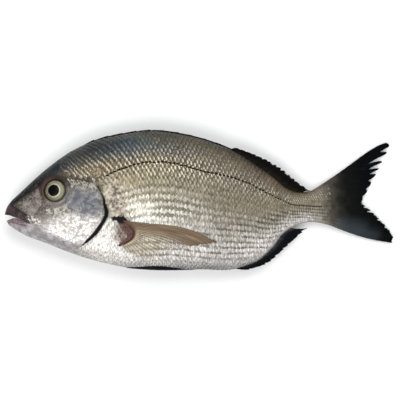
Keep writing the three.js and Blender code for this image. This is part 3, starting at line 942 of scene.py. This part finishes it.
# %% Tiling both flanks
def give_cell_map(piece, plate_points):
    """Each plate gets its own cell in a map for baking: the top in the cell, the underside gathered at one
    point below it.
    """
    loops = get_values(piece.data.loops, "vertex_index", kind=np.int64)
    number, rear, across = (get_values(piece.data.attributes[key].data, "value", kind=np.float32)[loops]
                            for key in ("number", "rear", "across"))
    number = np.round(number).astype(int)
    side = int(np.ceil(np.sqrt(number.max() + 1)))
    top = loops % plate_points < PLATE_TOP_POINTS
    u = np.where(top, 0.06 + 0.88 * (rear + 1) / 1.86, 0.5)
    v = np.where(top, 0.14 + 0.8 * (across + 1) / 2, 0.05)
    uv = np.stack([(number % side + u) / side, (number // side + v) / side], 1)
    piece.data.uv_layers.new(name="OFBake").data.foreach_set("uv", uv.astype(np.float32).ravel())


def tile(name, side, found, length, lift, keep):
    points = place_points(name, found, side, length, lift, keep)
    scales = grow(points, set_plates, plate=plate, unevenness=0.09, seed=7 + side, material=scale_material)
    give_cell_map(scales, len(plate.data.vertices))
    across = scales.data.attributes["across"].data
    across.foreach_set("value", side * get_values(across, "value", kind=np.float32))
    scales.data.shade_smooth()
    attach(scales, "root")
    print(name, len(scales.data.polygons), "faces")


for side, word in SIDES:
    tile(f"scales_{word}", side, places, (0.00245, 0.0026, 0.0016), -0.16, carries_plate)
    tile(f"cheek_scales_{word}", side, cheek_places, (0.0014, 0.0014, 0.0007), -0.17, cheek_plate)
bpy.data.objects.remove(plate)

# %% [markdown]
# ## Fins
# A fin is a fan of bony rays with thin skin between them. The rays are rods that taper to their tips, so
# Geometry Nodes sweep a small circle along a line for each ray. The skin between them is a thin closed
# sheet, torn a little at its outer edge. One rule, the fan, gives both: every ray runs from a root curve to
# a tip curve.

# %% The fan
random = np.random.default_rng(11)


def fan_point(fan, t, s):
    """A point of a fin at t across the fan and s along a ray, in straight millimetres."""
    x0, y0 = fan["root"](t)
    x1, y1 = fan["tip"](t)
    late = fan["late"](t) if "late" in fan else 1
    curve = fan["bow"](t) * np.sin(np.pi * np.clip(s, 0, 1) ** late)
    return mix(x0, x1, s), mix(y0, y1, s) + curve


def scalloped(rays, depth):
    """How far the skin between the rays reaches: to the tips at the rays, less in between."""
    depths = depth * (0.55 + 0.9 * random.random(rays))

    def reach(t):
        place = np.asarray(t) * (rays - 1)
        gap = np.minimum(np.floor(place), rays - 2).astype(int)
        return 1 - depths[gap] * np.abs(np.sin(np.pi * (place - gap))) ** 0.6

    return reach


def torn(reach, tears):
    """Each tear has a place across the fin, a depth and half a width."""
    def torn_reach(t):
        fall = np.maximum.reduce([d * smooth(1 - np.abs(t - c) / w) for c, d, w in tears])
        return reach(t) - fall

    return torn_reach


def fin_sheet(name, fan, rays, between, steps, thick, face, rest):
    columns = (rays - 1) * between + 1
    t = np.linspace(0, 1, columns)
    reach = fan["reach"](t) - fan.get("frayed", 0.01) * random.random(columns)
    s = np.linspace(fan["sunk"], 1, steps)[None, :] * reach[:, None]
    tt = np.broadcast_to(t[:, None], s.shape)
    x, y = fan_point(fan, tt, s)
    half = thick * (1 - 0.5 * np.clip(s, 0, 1))
    points = np.concatenate([face(x, y, s, sign * half).reshape(-1, 3) for sign in (1, -1)])
    front = grid_faces(columns, steps)
    count = columns * steps
    index = np.arange(count).reshape(columns, steps)
    border = np.concatenate([index[:, 0], index[-1, 1:], index[-2::-1, -1], index[0, -2:0:-1]])
    rim = [(a, b, b + count, a + count) for a, b in zip(border, np.roll(border, -1))]
    faces = [*front, *(front[:, ::-1] + count), *rim]
    near_ray = np.abs((np.arange(columns) % between) / between * 2 - 1)
    return face_out(add_mesh(name, lay(points, rest), faces, along=np.tile(np.clip(s, 0, 1).ravel(), 2),
                             near_ray=np.tile(np.repeat(near_ray, steps), 2), across=np.tile(tt.ravel(), 2)))


# %% The rays, swept by Geometry Nodes
def rods_tree():
    tree, takes, gives = new_group("sweep_rods", "GeometryNodeTree", dict(
        Geometry="Geometry", Sides="Int", Material="Material"), dict(Geometry="Geometry"))
    curves = add_node(tree, "GeometryNodeMeshToCurve", {0: takes["Geometry"]}).outputs[0]
    circle = add_node(tree, "GeometryNodeCurvePrimitiveCircle", {"Resolution": takes["Sides"], "Radius": 1.0})
    rods = add_node(tree, "GeometryNodeCurveToMesh", {
        "Curve": curves, "Profile Curve": circle.outputs[0], "Scale": named(tree, "thick", "FLOAT"),
        "Fill Caps": True})
    return finish_tree(tree, rods.outputs[0], takes["Material"], gives)


sweep_rods = rods_tree()


def sweep(name, lines, material, rest=0.0):
    """A rod along each line, which is an array with a row of x, y, z, radius, along and across a point."""
    edges, start = [], 0
    for line in lines:
        edges += [(start + k, start + k + 1) for k in range(len(line) - 1)]
        start += len(line)
    rows = np.concatenate(lines)
    rods = add_mesh(name, lay(rows[:, :3], rest), edges=edges, thick=rows[:, 3] / 1000, along=rows[:, 4],
                    across=rows[:, 5], near_ray=np.ones(len(rows)))
    return face_out(grow(rods, sweep_rods, sides=6, material=material))


def fin_rays(name, fan, rays, steps, root_radius, tip_radius, face, material, rest):
    lines = []
    for ray in range(rays):
        t0 = ray / (rays - 1)
        for fork in ((-1, 1) if 0 < ray < rays - 1 else (0,)):
            spread = fork * 0.2 / (rays - 1)
            s = np.linspace(0, float(fan["reach"](np.array(t0 + spread))) - 0.008, steps)
            t = t0 + spread * smooth((s - 0.4) / 0.45)
            x, y = fan_point(fan, np.clip(t, 0, 1), s)
            joints = 1 + 0.1 * np.cos(np.arange(steps) * np.pi) * (s > 0.25)
            radius = mix(root_radius, tip_radius, s ** 0.8) * joints * (0.8 if fork else 1)
            lines.append(np.column_stack([face(x, y, s, 0 * s), radius, s, t]))
    return sweep(name, lines, material, rest)


# %% [markdown]
# ### The finish of the fins
# The tail, back and anal fins are nearly black and paler at their roots: the flank's own colours on the
# tail, brown on the back fin, slate on the anal fin. The belly fins are navy. The breast fins are thin and
# amber, with a dark red root, and the lower half of their fan is clear enough to show the scales behind it.

# %% Fin materials
def make_fin_material(name, root=None, edge=None, root_share=None):
    """From the root's colour to the edge's. Without them, the tail's own, with a grey sheen below."""
    surface = Surface(name)
    where = surface.where
    along = surface.read("along") + (where.noise(90.0) * 0.3 + -0.15)
    streaks = where.noise(420.0, 3.0, (0.25, 1.6, 1.0))
    if root:
        inner = blend(streaks.span(0.4, 0.7), tuple(0.6 * c for c in root), root)
        colour = blend(along.span(*root_share), inner, edge)
    else:
        lower_lobe = surface.read("across").span(0.66, 0.96, 0.0, 0.42)
        sheen = along.span(0.0, 0.25) * along.span(0.95, 0.5) * lower_lobe
        colour = blend(sheen, tail_root(where), (72, 80, 86))
    return surface.finish(
        base_color=blend(streaks.span(0.5, 0.8, 0.0, 0.12), colour, (50, 56, 58)),
        roughness=streaks.span(0.3, 0.7, 0.5, 0.7),
        specular_ior_level=0.04,
        normal=streaks.bumps(0.3, 0.0003))


tail_skin = make_fin_material("tail_skin")
black_fin = make_fin_material("black_fin", (44, 37, 29), (7, 6, 4), (-0.1, 0.5))
slate_fin = make_fin_material("slate_fin", (76, 78, 84), (8, 9, 12), (0.0, 0.42))
navy_fin = make_fin_material("navy_fin", (24, 32, 46), (6, 9, 15), (0.0, 0.6))


def make_breast_fin_material(name, upper, lower, thinnest):
    """The skin is clear in the lower half of the fan; the rays keep their cover there."""
    surface = Surface(name)
    across, along, near_ray = map(surface.read, ("across", "along", "near_ray"))
    streaks = two_numbers(across * 70.0, along * 3.0).noise(1.0, 4.0)
    on_band = across.span(0.7, 0.2)
    colour = blend(across.span(0.15, 0.5), upper, lower)
    colour = blend(streaks.span(0.42, 0.62, 0.0, 0.7) * on_band, colour, (84, 60, 40))
    colour = blend(streaks.span(0.46, 0.3, 0.0, 0.5) * on_band, colour, (190, 168, 130))
    colour = blend(near_ray.span(0.5, 1.0, 0.0, 0.5) * across.span(0.6, 0.2), colour, (76, 54, 34))
    colour = blend(along.span(0.72, 1.0, 0.0, 0.5), colour, (96, 76, 56))
    colour = blend(along.span(0.09, 0.01) * across.span(0.0, 0.4, 0.5, 1.0), colour, (74, 38, 34))
    band = along * 0.16 + across
    clear = band.span(0.28, 0.5) * along.span(0.03, 0.18)
    fade = band.span(0.4, 0.6) * along.span(0.6, 1.0, 0.0, 0.8)
    cover = (clear * (thinnest - 0.94) + 0.94) * (fade * -1.0 + 1.0)
    return surface.finish(base_color=colour, alpha=cover, roughness=0.4, specular_ior_level=0.3)


amber_fin = make_breast_fin_material("amber_fin", (118, 98, 73), (206, 192, 158), 0.16)
amber_rays = make_breast_fin_material("amber_rays", (90, 66, 44), (108, 86, 58), 0.85)

# %% The skin's last stretch takes the tail's finish
centres = get_values(skin.data.polygons, "center", 3)
on_root = centres[:, 0] * 1000 - shift[0] > TAIL_ROOT_X - 6
skin.data.materials.append(tail_skin)
skin.data.polygons.foreach_set("material_index", on_root.astype(np.int32))
print("the tail's finish covers", int(on_root.sum()), "faces of the skin")

# %% The tail fin, the soft back fin and the anal fin
def in_middle(x, y, s, out):
    return np.stack([x, y, out + 0 * x], -1)


def add_fin(name, fan, rays, radii, material, ray_material, face=in_middle, thick=0.16, steps=26, between=6,
            rest=0.0):
    sheet = fin_sheet(name, fan, rays, between, steps, thick, face, rest / 3)
    sheet.data.materials.append(material)
    rods = fin_rays(name + "_rays", fan, rays, steps, *radii, face, ray_material, rest)
    for piece in (sheet, rods):
        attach(piece, "root")
    print(name, len(sheet.data.polygons) + len(rods.data.polygons), "faces")


tail = dict(
    root=lambda t: (95 - 8 * (bump(t, 0.05) + bump(1 - t, 0.05)),
                    mix(11.8, -17.4, t) - 4.6 * bump(t, 0.05) + 3.4 * bump(1 - t, 0.05)),
    reach=torn(scalloped(17, 0.02), [
        (0, 0.02, 0.014), (0.066, 0.13, 0.02), (0.137, 0.25, 0.038), (0.22, 0.2, 0.032), (0.283, 0.13, 0.022),
        (0.345, 0.08, 0.018), (0.41, 0.05, 0.016), (0.47, 0.03, 0.014), (0.58, 0.06, 0.016),
        (0.64, 0.11, 0.02), (0.69, 0.04, 0.014), (0.76, 0.05, 0.014), (0.84, 0.03, 0.012)]),
    tip=path_through([
        (0, 145.6, 44.5), (0.04, 147.2, 42.2), (0.09, 145.4, 36.8), (0.18, 141.2, 29.8), (0.3, 136.6, 20.4),
        (0.42, 130, 8), (0.52, 125.6, -1.6), (0.62, 132.4, -7.8), (0.75, 139, -14.6), (0.87, 146.6, -23.4),
        (0.94, 149.9, -29), (0.975, 150, -31.2), (1, 149.2, -33)]),
    bow=lambda t: mix(2.7, -2.6, t), late=lambda t: mix(2.6, 1.3, t), sunk=-0.04)
add_fin("tail_fin", tail, 17, (0.6, 0.2), tail_skin, tail_skin, thick=0.22, between=10)

soft_back = dict(
    root=lambda t: (mix(23, 77, t), back(mix(23, 77, t)) - 1),
    tip=path_through([
        (0, 29.5, 39.6), (0.2, 42.4, 35.2), (0.4, 54, 30), (0.6, 64, 24), (0.8, 74, 16), (1, 84.5, 7.4)]),
    reach=scalloped(15, 0.11), bow=lambda t: 0.8, frayed=0.13, sunk=-0.2)
add_fin("soft_back_fin", soft_back, 15, (0.6, 0.2), black_fin, black_fin, steps=14)

anal = dict(
    root=lambda t: (mix(26, 68, t), belly(mix(26, 68, t)) + 1),
    tip=path_through([
        (0, 38, -53.3), (0.15, 46, -51.2), (0.3, 53.4, -48.2), (0.5, 61.8, -40.6), (0.7, 69.5, -33.8),
        (0.85, 76.2, -27.6), (1, 82.6, -22)]),
    reach=scalloped(13, 0.1), bow=lambda t: -0.6, frayed=0.1, sunk=-0.2)
add_fin("anal_fin", anal, 13, (0.6, 0.2), slate_fin, slate_fin, steps=14)

# %% [markdown]
# ### Breast fins
# A breast fin lies against the flank, so its surface is the flank's own height plus a little. It starts at a
# curved fleshy root just behind the gill cover.

# %% Breast fins on both flanks
breast = dict(
    root=path_through([(0, -57, -15.8), (0.33, -51, -22.4), (0.66, -51.4, -28.8), (1, -58.8, -34.5)]),
    tip=path_through([
        (0, 13, -33.2), (0.15, 4, -34.4), (0.3, -8, -36), (0.45, -17, -38.8), (0.6, -26, -42.4),
        (0.75, -35.5, -45.2), (0.88, -45, -45.4), (1, -54.5, -39.8)]),
    reach=scalloped(15, 0.03), bow=lambda t: 5.4 * (1 - t) ** 2, late=lambda t: 1.5, sunk=-0.05)


def on_flank(side):
    def face(x, y, s, out):
        lift = 0.75 + 0.35 * smooth(np.clip(s, 0, 1)) - 1.6 * smooth(-s / 0.05)
        return np.stack([x, y, side * (solid_flank(x, y) + lift + out)], -1)

    return face


for side, word in SIDES:
    add_fin(f"breast_fin_{word}", breast, 19, (0.27, 0.12), amber_fin, amber_rays, face=on_flank(side),
            thick=0.1, steps=34, rest=0.4)

# %% [markdown]
# ### Belly fins
# The belly fins are folded back along the keel. Their fans are given along and across the fish, and the
# surface is the underside of the belly.

# %% Belly fins, folded along the keel
def under_belly(side):
    def face(x, across, s, out):
        middle, up, down, wide = section(x)
        skin_y = middle - down * np.sqrt(np.maximum(1 - (across / wide) ** (2 / 0.9), 0))
        return np.stack([x, skin_y - 0.2 - out + 1.2 * smooth(-s / 0.06), side * across], -1)

    return face


for side, word in SIDES:
    folded = dict(
        root=lambda t: (mix(-56, -52, t), mix(1.4, 3.6, t)),
        tip=lambda t: (mix(-4, -15, t), mix(1.2, 4.2, t)),
        reach=scalloped(6, 0.04), bow=lambda t: mix(0.8, 2.8, t), sunk=-0.06)
    add_fin(f"belly_fin_{word}", folded, 6, (0.42, 0.25), navy_fin, navy_fin, face=under_belly(side),
            thick=0.25, steps=18)

# %% [markdown]
# ### The folded spines
# The front of the back fin is folded down into its groove, so that only a dark, stepped ridge shows: eleven
# stiff spines lying over each other with the black skin gathered between them.

# %% Folded spines of the back fin
SPINES = 11


def spine_ridge():
    x = np.linspace(-92, 27, 240)
    step = ((x + 92) / 119 * SPINES) % 1
    rise = mix(0.5, 1.1, step) * smooth((x + 92) / 10)
    points = []
    for z, share in ((2.1, -2.3), (1.3, -0.2), (0.5, 1), (-0.5, 1), (-1.3, -0.2), (-2.1, -2.3)):
        lift = rise * share if share > 0 else share
        points.append(np.stack([x, back(x) + lift, z * smooth((x + 95) / 12)], -1))
    points = np.stack(points, 1)
    rows, ring = points.shape[:2]
    faces = [*grid_faces(rows, ring, wrap=True), range(ring), range((rows - 1) * ring, rows * ring)[::-1]]
    one = np.ones(rows * ring)
    ridge = add_mesh("spine_ridge", lay(points.reshape(-1, 3)), faces, along=one, near_ray=one)
    ridge.data.materials.append(black_fin)
    return face_out(ridge)


def folded_spines():
    s = np.linspace(0, 1, 12)
    lines = []
    for k in range(SPINES):
        x = -90 + k * 10.2 + 21 * s
        y = back(x) - 0.9 + 1.5 * smooth(s * 1.2)
        z = (0.75 if k % 2 else -0.75) * (1 - 0.6 * s)
        lines.append(np.column_stack([x, y, z, mix(0.75, 0.1, s ** 1.3), 1 + 0 * s, 0 * s]))
    return sweep("folded_spines", lines, black_fin)


for piece in (spine_ridge(), folded_spines()):
    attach(piece, "root")

# %% [markdown]
# ## The side line
# A row of pierced scales runs from the shoulder to the tail. Each has a dark little tube, and together they
# draw the dark dotted line on the flank. It repeats and follows a path, so Geometry Nodes set the tubes.

# %% Pores of the side line
def make_pore():
    """A ball of five rings of eight points."""
    u = np.linspace(0, np.pi, 7)[1:-1, None]
    turns = np.linspace(0, 2 * np.pi, 8, endpoint=False)
    rings = np.stack([-np.cos(u) + 0 * turns, np.sin(u) * np.cos(turns), np.sin(u) * np.sin(turns)], -1)
    points = np.concatenate([rings.reshape(-1, 3), [[-1, 0, 0], [1, 0, 0]]])
    return face_out(add_mesh("pore", points, ball_faces(5, 8)))


def side_line_places():
    x = np.linspace(-73, 97, 700)
    cuts = skin_point(x[:, None], GIRTH[None, :])
    angle = np.array([np.interp(-side_line(x[i]), -cuts[i, :, 1], GIRTH) for i in range(len(x))])
    phase = np.cumsum(np.gradient(x) / (PLATE_GAP * 0.95 * plate_size(x)))
    wanted = np.arange(1, int(phase[-1]))
    return np.stack([np.interp(wanted, phase, x), np.interp(wanted, phase, angle), 0 * wanted], 1)


def make_pore_material():
    surface = Surface("pores")
    colour = blend(surface.where.noise(500.0).span(0.3, 0.7), (10, 8, 5), (34, 26, 18))
    return surface.finish(base_color=colour, roughness=0.5, specular_ior_level=0.1)


pore = make_pore()
pore_material = make_pore_material()
for side, word in SIDES:
    points = place_points(f"side_line_{word}", side_line_places(), side, (0.0014, 0.00075, 0.0005), 0.3,
                          lambda x, y: x < TAIL_ROOT_X)
    line = grow(points, set_plates, plate=pore, unevenness=0.12, seed=3, material=pore_material)
    line.data.shade_smooth()
    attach(line, "root")
bpy.data.objects.remove(pore)

# %% [markdown]
# ## The eyes
# A fish's eye is a flattened ball. Its iris is a pale, greenish gold ring with a darker rim, the round pupil
# is black, and a clear wet layer lies over both. The ball is turned from one profile on rings placed where
# the colours change, so the pupil has a crisp edge, and the clear layer is the shader's coat.

# %% Making the eyes
EYE_TURNS = 64


def make_eye(side, word):
    inner, outer = np.linspace(0, 3.9, 7), np.linspace(5, 7.4, 7)
    rings = np.concatenate([inner, [4.0, 4.15, 4.5], outer, [7.7, 8.0, 8.2]])
    tilt = np.arcsin(rings / EYE_RADIUS)
    tilt = np.concatenate([tilt, np.pi - tilt[:0:-1]])
    rings, level = EYE_RADIUS * np.sin(tilt), EYE_HALF_DEPTH * np.cos(tilt)
    pupil = smooth((4.15 - rings) / 0.3) * (level > 0)
    level = level + 0.1 * pupil * np.maximum(1 - (rings / 4.2) ** 2, 0)
    turns = np.linspace(0, 2 * np.pi, EYE_TURNS, endpoint=False)
    x, y = rings[1:-1, None] * np.cos(turns), rings[1:-1, None] * np.sin(turns)
    local = np.stack([x, y, level[1:-1, None] + 0 * x], -1).reshape(-1, 3)
    local = np.concatenate([local, [[0, 0, level[0]], [0, 0, -EYE_HALF_DEPTH]]])
    mirror = np.array([1, 1, side])
    out = eye_out * mirror
    one = np.cross(np.array([0, 1.0, 0]), out)
    one /= np.linalg.norm(one)
    axes = np.stack([one, np.cross(out, one), out])
    x, y, z = local.T
    eye = add_mesh(f"eyeball_{word}", lay(eye_centre * mirror + local @ axes),
                   ball_faces(len(rings) - 2, EYE_TURNS), radius=np.hypot(x, y) / EYE_RADIUS,
                   pupil=smooth((4.75 - np.hypot(x + 0.5, y)) / 0.35) * (z > -0.5),
                   bearing=np.arctan2(y, x) / np.pi)
    return face_out(eye)


def make_eye_material():
    surface = Surface("eye")
    radius, bearing = surface.read("radius"), surface.read("bearing")
    grain = surface.where.noise(900.0, 4.0)
    colour = (radius + (grain * 0.12 + -0.06)).ramp([
        (0.56, 204, 200, 176), (0.64, 146, 144, 122), (0.74, 122, 119, 99), (0.83, 150, 147, 126),
        (0.9, 90, 85, 68), (0.95, 40, 34, 27)])
    fibres = two_numbers(bearing * 9.0, radius * 2.0).noise(2.2, 4.0)
    colour = blend(fibres.span(0.4, 0.65, 0.0, 0.6), colour, (96, 94, 74))
    # Painted shade: the iris is darker on its front side and at its bottom.
    painted_front_shade = abs(bearing).span(0.45, 0.9, 0.0, 0.85) * radius.span(0.6, 0.85)
    colour = blend(painted_front_shade, colour, (72, 56, 46))
    colour = blend(grain.span(0.45, 0.7, 0.0, 0.2), colour, (196, 194, 174))
    shaded = abs(bearing + 0.55).span(0.4, 0.1, 0.0, 0.4) * radius.span(0.6, 0.8)
    colour = blend(shaded, colour, (70, 68, 54))
    colour = surface.paint(colour, [("pupil", 1.0, (4, 3, 4))])
    return surface.finish(base_color=colour, roughness=0.4, specular_ior_level=0.08, coat_weight=0.07,
                          coat_roughness=0.05)


eye_material = make_eye_material()
for side, word in SIDES:
    eye = make_eye(side, word)
    eye.data.materials.append(eye_material)
    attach(eye, "root")
    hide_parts(f"eye_{word}")

# %% [markdown]
# ## The picture
# The fish is seen exactly from its side, so the camera looks straight down with a long lens, which keeps the
# outline free of perspective. The photograph is 400 by 400 pixels and the fish spans 391 of them. The light
# is plain: a pale floor, a soft sky and two large lamps.

# %% Floor, lamps and camera
MM_PER_PIXEL = 0.7673
PIXELS = 400
SENSOR = 36
CAMERA_HEIGHT = 2.4
FLANK_HEIGHT = 0.018


def make_floor():
    floor = add_mesh("floor", [(-3, -3, 0), (3, -3, 0), (3, 3, 0), (-3, 3, 0)], [(0, 1, 2, 3)])
    floor.data.materials.append(Surface("floor").finish(base_color=(0.93, 0.93, 0.93, 1), roughness=0.9))


def add_lamp(name, place):
    light = bpy.data.lights.new(name, "AREA")
    light.size = 1.3
    light.energy = 15.5
    lamp = add_object(name, light)
    lamp.location = place
    lamp.rotation_euler = (-Vector(place)).to_track_quat("-Z", "Y").to_euler()


make_floor()
camera = bpy.data.cameras.new("camera")
camera.sensor_width = SENSOR
camera.lens = SENSOR * (CAMERA_HEIGHT - FLANK_HEIGHT) / (MM_PER_PIXEL * PIXELS / 1000)
eye_point = add_object("camera", camera)
eye_point.location = (shift[0] / 1000, shift[1] / 1000, CAMERA_HEIGHT)
bpy.context.scene.camera = eye_point
add_lamp("key", (0.3, 0.75, 1.05))
add_lamp("fill", (-0.3, -0.75, 1.05))
world = bpy.data.worlds.new("sky")
world.use_nodes = True
world.node_tree.nodes["Background"].inputs[0].default_value = (0.95, 0.97, 1.0, 1)
world.node_tree.nodes["Background"].inputs[1].default_value = 0.3
bpy.context.scene.world = world
bpy.context.scene.view_settings.view_transform = "Standard"
